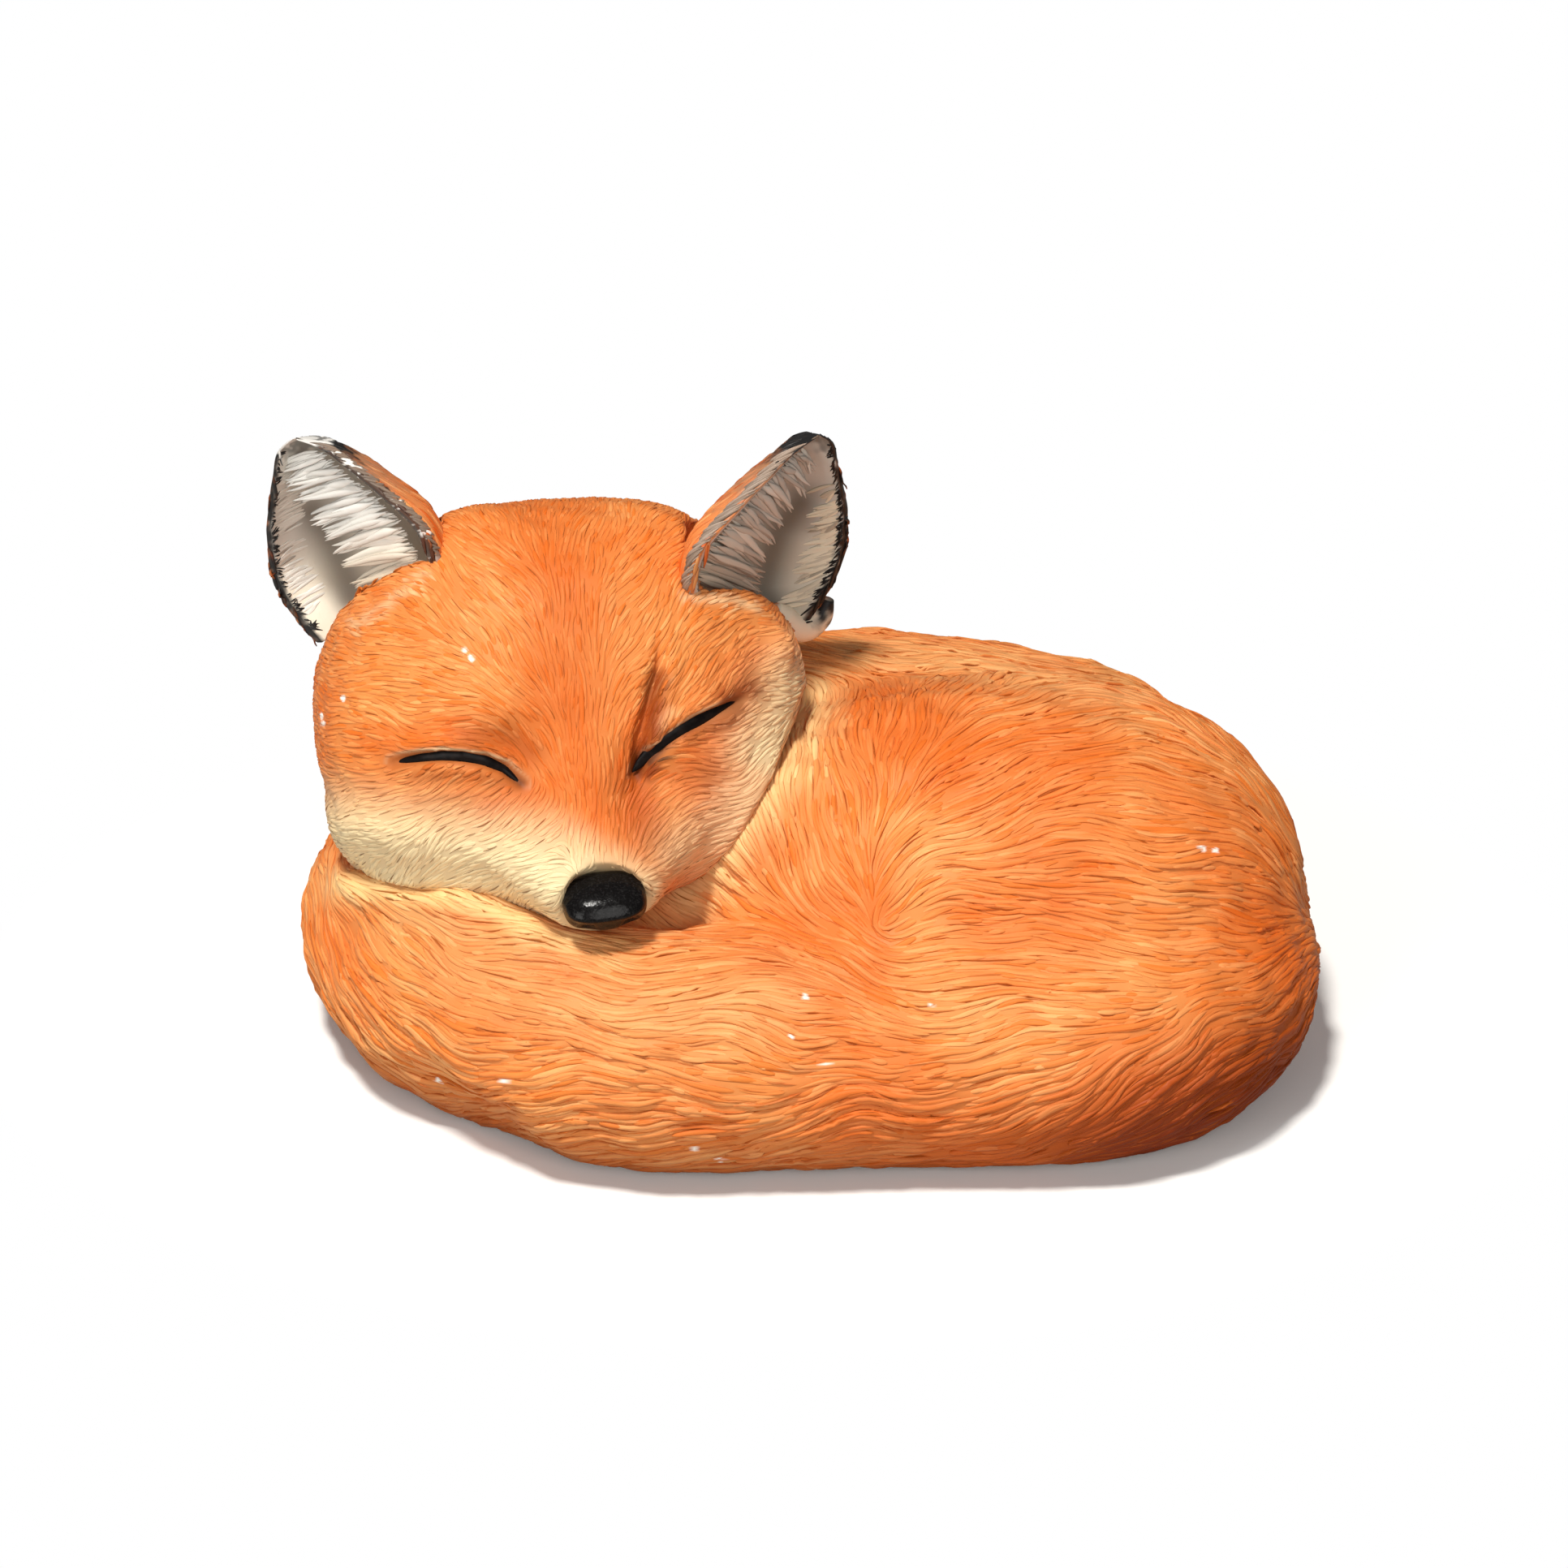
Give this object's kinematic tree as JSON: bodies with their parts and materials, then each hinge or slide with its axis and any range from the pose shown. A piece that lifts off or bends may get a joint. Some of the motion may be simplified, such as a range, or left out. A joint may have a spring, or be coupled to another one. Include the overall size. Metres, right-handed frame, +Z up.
{
  "type": "sleeping fox figurine",
  "caption": "Curled-up sleeping fox cub ornament, cast in painted resin with its tail wrapped round the front; stands free on a felt pad.",
  "frame": {"origin": "on the table, under the middle of the figurine, on the felt pad's underside", "axes": "+X to the viewer's right along the curled body, +Y to the back, +Z up"},
  "size_m": [0.1801, 0.1282, 0.1088],
  "materials": {
    "coat": "satin paint, orange with darker carved grooves",
    "face_coat": "satin paint, orange fading to cream at the muzzle and cheeks",
    "ear_shell": "satin paint, orange back, pale inside, black rim",
    "ear_tuft": "satin white paint",
    "nose_gloss": "gloss black",
    "eye_gloss": "gloss black",
    "dowel_wood": "plain",
    "pin_steel": "bright wire",
    "plate_resin": "unpainted",
    "felt": "felt"
  },
  "bodies": {
    "root": {"body_casting": "coat", "head_casting": "face_coat", "left_ear": "ear_shell", "right_ear": "ear_shell", "left_ear_tuft": "ear_tuft", "right_ear_tuft": "ear_tuft", "nose": "nose_gloss", "left_eye": "eye_gloss", "right_eye": "eye_gloss", "neck_dowels": "dowel_wood", "ear_pins": "pin_steel", "base_plate": "plate_resin", "felt_pad": "felt"}
  },
  "joints": []
}
